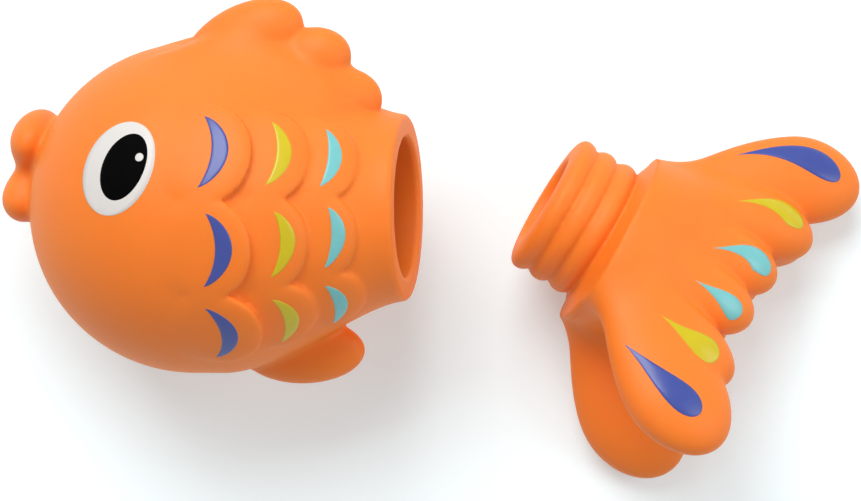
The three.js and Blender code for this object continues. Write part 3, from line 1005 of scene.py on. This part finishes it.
def drop_outline(path, half_width):
    point, middle, head = (np.array(spot, float) for spot in path)
    control = 2 * middle - (point + head) / 2

    def outline(u, w):
        # The stations crowd towards the head, which is the rounder end
        share = 1 - (1 - u) ** 2
        t = share[:, None]
        spot = (1 - t) ** 2 * point + 2 * t * (1 - t) * control + t**2 * head
        along = (1 - t) * (control - point) + t * (head - control)
        along /= np.linalg.norm(along, axis=1, keepdims=True)
        point_side = np.sin(pi / 2 * np.minimum(share / DROP_WIDEST, 1) ** DROP_POINT)
        past = np.clip((share - DROP_WIDEST) / (1 - DROP_WIDEST), 0, 1)
        width = half_width * point_side * np.sqrt(1 - past**2)
        spot = spot + (w * width)[:, None] * np.stack((-along[:, 1], along[:, 0]), axis=1)
        flat = np.stack((spot[:, 0], spot[:, 1] - LEAF_APEX, np.full_like(u, FAR)), axis=1)
        start = flat @ leaf_card.T + (0, LEAF_APEX, 0)
        return start, np.broadcast_to(-leaf_card[:, 2], start.shape)

    return outline


for name, drop in DROPS.items():
    paint(name, drop_outline(**drop), name.split("_")[0], TAIL)
print("drops on a side of the tail:", len(DROPS))

# %% [markdown]
# ## The floor
#
# The toy lies on a sheet of matt white paper that keeps its shadow. The paper glows a little for the rays
# that show the background, so that it comes out white without more light on the toy.

# %% White floor
FLOOR_HALF = 3
FLOOR_GLOW = 0.28
WHITE = (1, 1, 1, 1)
PAPER_COLOUR = "#e1f0f3"
PAPER_SPECULAR = 0.1
PAPER_ROUGHNESS = (0.8, 0.9)
# Paper fibres are too fine to show in the render, so they are drawn coarser
PAPER_FIBRE_MM = 2.5


def background_rays(tree, hidden, shown):
    """A strength for the rays that show the background: straight, mirrored or through glass."""
    path = add_node(tree, "ShaderNodeLightPath")
    rays = path.outputs["Is Camera Ray"]
    for kind in ("Is Glossy Ray", "Is Transmission Ray"):
        either = add_node(tree, "ShaderNodeMath", {0: rays, 1: path.outputs[kind]}, operation="MAXIMUM")
        rays = either.outputs[0]
    level = add_node(tree, "ShaderNodeMapRange", {"Value": rays, "To Min": hidden, "To Max": shown})
    return level.outputs["Result"]


sweep, tree = new_material("white_paper_sweep")
spot = add_node(tree, "ShaderNodeTexCoord").outputs["Object"]
fibre = add_node(tree, "ShaderNodeTexNoise", {"Vector": spot, "Scale": per_mm(PAPER_FIBRE_MM)})
low, high = PAPER_ROUGHNESS
gloss = add_node(tree, "ShaderNodeMapRange", {"Value": fibre.outputs["Fac"], "To Min": low, "To Max": high})
finish = {
    "Base Color": linear(PAPER_COLOUR),
    "Roughness": gloss.outputs["Result"],
    "Specular IOR Level": PAPER_SPECULAR,
}
paper = add_node(tree, "ShaderNodeBsdfPrincipled", finish)
glow_level = background_rays(tree, 0, FLOOR_GLOW)
glow = add_node(tree, "ShaderNodeEmission", {"Color": WHITE, "Strength": glow_level})
both = add_node(tree, "ShaderNodeAddShader", {0: paper.outputs["BSDF"], 1: glow.outputs["Emission"]})
add_node(tree, "ShaderNodeOutputMaterial", {"Surface": both.outputs["Shader"]})

corners = [(x * FLOOR_HALF, y * FLOOR_HALF, 0) for x, y in ((-1, -1), (1, -1), (1, 1), (-1, 1))]
floor_mesh = bpy.data.meshes.new("white_floor")
floor_mesh.from_pydata(corners, [], [(0, 1, 2, 3)])
floor_mesh.materials.append(sweep)
floor = bpy.data.objects.new("white_floor", floor_mesh)
bpy.context.scene.collection.objects.link(floor)
print(f"floor {2 * FLOOR_HALF} m wide")

# %% [markdown]
# ## Light
#
# A large soft box stands beyond the back fin and gives the broad highlights and the soft shadow in front of
# the toy. A weaker one from the tail's side opens the shadows. The white room around them lights the toy
# weakly, and is full white only to the rays that show it.

# %% White room and soft boxes
ROOM_STRENGTH = 0.35
KEY_AT = (-0.6, 1.8, 2.24)
KEY_SIZE = 1.9
KEY_POWER = 72
FILL_AT = (2.1, 0.1, 1.6)
FILL_SIZE = 1.5
FILL_POWER = 18

world = bpy.data.worlds.new("white_studio")
world.use_nodes = True
tree = world.node_tree
tree.nodes.clear()
room_level = background_rays(tree, ROOM_STRENGTH, 1)
room = add_node(tree, "ShaderNodeBackground", {"Color": WHITE, "Strength": room_level})
add_node(tree, "ShaderNodeOutputWorld", {"Surface": room.outputs["Background"]})
bpy.context.scene.world = world


def soft_box(name, spot, size, power):
    """A square area light that faces the toy."""
    lamp = bpy.data.lights.new(name, "AREA")
    lamp.size = size
    lamp.energy = power
    box = bpy.data.objects.new(name, lamp)
    box.location = spot
    box.rotation_euler = (-Vector(spot)).to_track_quat("-Z", "Y").to_euler()
    bpy.context.scene.collection.objects.link(box)
    print(f"{name}: {power} W, {Vector(spot).length:.1f} m away")


soft_box("soft_key", KEY_AT, KEY_SIZE, KEY_POWER)
soft_box("soft_fill", FILL_AT, FILL_SIZE, FILL_POWER)

# %% [markdown]
# ## Camera
#
# The camera looks straight down from about 0.7 m. Its focal length follows from what it has to hold: a
# strip of the toy, at the height of the head's middle, that just fills the width of the picture.

# %% Camera above the toy
CAMERA_AT = (-1.775, -0.465, 731.2)
CAMERA_REACH = 700
VIEW_WIDTH = 163.59
SENSOR_WIDTH = 36

lens = bpy.data.cameras.new("camera")
lens.sensor_width = SENSOR_WIDTH
lens.lens = SENSOR_WIDTH * CAMERA_REACH / VIEW_WIDTH
camera = bpy.data.objects.new("camera", lens)
camera.location = Vector(CAMERA_AT) * MM
bpy.context.scene.collection.objects.link(camera)
bpy.context.scene.camera = camera
bpy.context.scene.view_settings.view_transform = "Standard"
print(f"focal length {lens.lens:.0f} mm")
